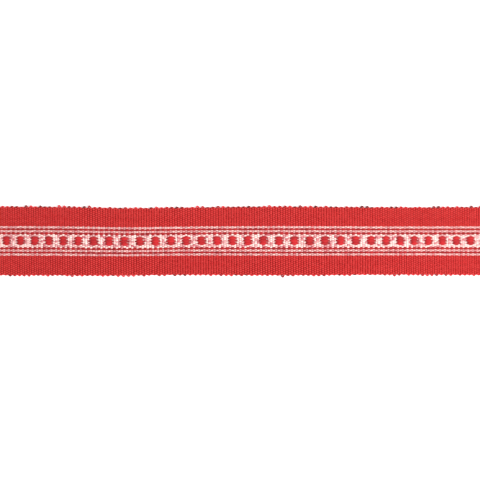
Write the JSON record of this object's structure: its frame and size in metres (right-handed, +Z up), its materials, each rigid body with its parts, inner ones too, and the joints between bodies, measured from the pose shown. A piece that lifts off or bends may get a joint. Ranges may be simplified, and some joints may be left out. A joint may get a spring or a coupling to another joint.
{
  "type": "length of woven tape trim",
  "caption": "Cut length of patterned woven cotton tape trim, red with white stripes and a row of red dots along the middle, lying flat.",
  "frame": {"origin": "middle of the flat underside", "axes": "+X along the tape, +Y across it, +Z up out of the face"},
  "size_m": [0.2972, 0.04, 0.002],
  "materials": {
    "woven_cotton": "matt ribbed cotton weave, red ground with white stripes and red dots",
    "white_cotton": "the white cotton ends of the stripes and of the middle line, matt"
  },
  "bodies": {
    "root": {"woven_tape": "woven_cotton"}
  },
  "joints": []
}
